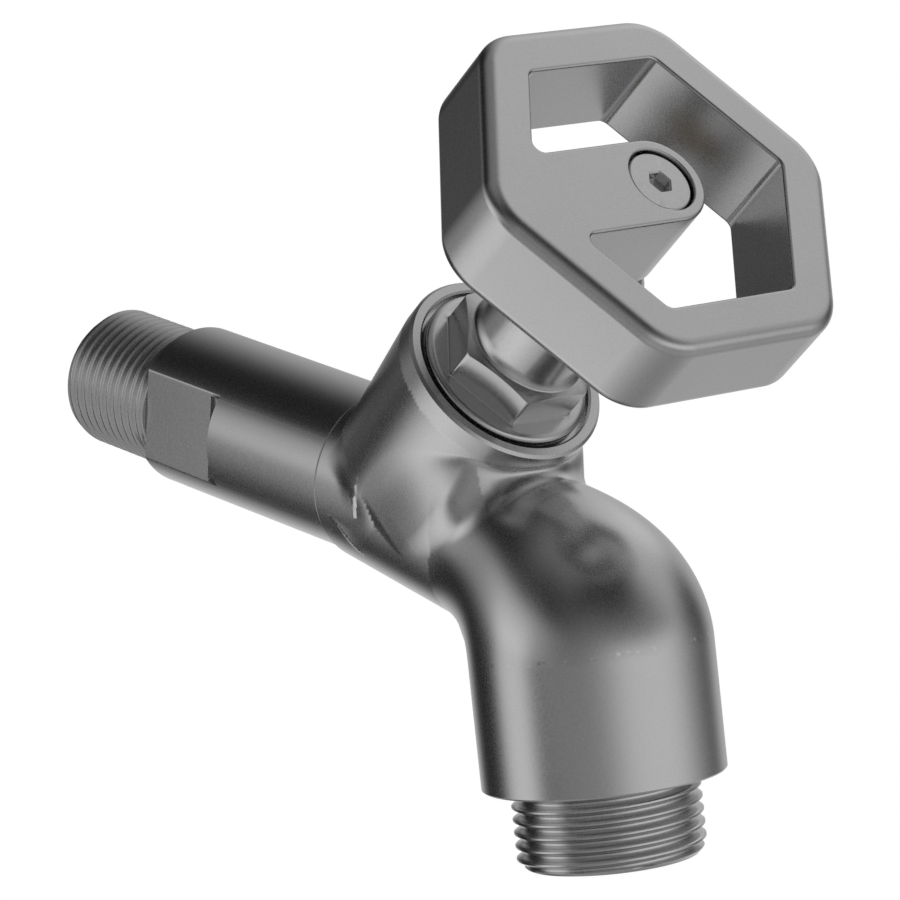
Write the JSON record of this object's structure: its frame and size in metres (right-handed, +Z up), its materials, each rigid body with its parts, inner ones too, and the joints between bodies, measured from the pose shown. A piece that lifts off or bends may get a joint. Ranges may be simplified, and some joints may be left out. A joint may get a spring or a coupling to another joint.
{
  "type": "garden tap",
  "caption": "Wall-mounted screw-down garden tap with a leaning headwork, open hexagonal ring handle, threaded inlet shank and male hose outlet.",
  "frame": {"origin": "centre of the inlet thread's shoulder, on the inlet axis, where the tap meets the wall fitting", "axes": "+Y along the inlet axis into the wall, +Z up, -Y towards the user; +X completes the right-handed frame"},
  "size_m": [0.0586, 0.1354, 0.1155],
  "materials": {
    "matt_metal": "fine matt, bead-blasted",
    "turned_metal": "satin, turned",
    "brass": "machined",
    "rubber": "matt",
    "white_plastic": "matt"
  },
  "bodies": {
    "root": {"valve_body": "matt_metal", "inlet_shank": "matt_metal", "shank_o_ring": "rubber", "seat_ring": "brass", "bonnet": "turned_metal", "bonnet_seal": "rubber", "gland_nut": "turned_metal", "gland_packing": "white_plastic", "thrust_washer": "white_plastic", "outlet_nipple": "turned_metal", "nipple_seal": "rubber", "check_housing": "white_plastic", "check_housing_o_ring": "rubber", "check_retaining_ring": "turned_metal", "check_spring": "turned_metal"},
    "spindle": {"spindle": "brass", "spindle_o_rings": "rubber", "handle": "matt_metal", "handle_screw": "turned_metal", "lock_washer": "turned_metal"},
    "jumper": {"jumper": "brass", "seat_washer": "rubber", "washer_screw": "turned_metal"},
    "poppet": {"check_poppet": "white_plastic", "poppet_seal": "rubber"}
  },
  "joints": [
    {"name": "handle_turn", "type": "hinge", "parent": "root", "child": "spindle", "pos_m": [0, -0.0492, 0], "axis": [0, -0.6561, 0.7547], "range_deg": [0, 810]},
    {"name": "plug_lift", "type": "slide", "parent": "root", "child": "jumper", "axis": [0, -0.6561, 0.7547], "range_m": [0, 0.00562]},
    {"name": "poppet_open", "type": "slide", "parent": "root", "child": "poppet", "axis": [0, -0.2419, -0.9703], "range_m": [0, 0.0026], "stiffness_N_per_m": 150, "springref_m": -0.002, "deforming": ["check_spring"]}
  ],
  "couplings": [
    {"joint": "handle_turn", "follows": "plug_lift", "rad_per_m": 2513.3}
  ]
}
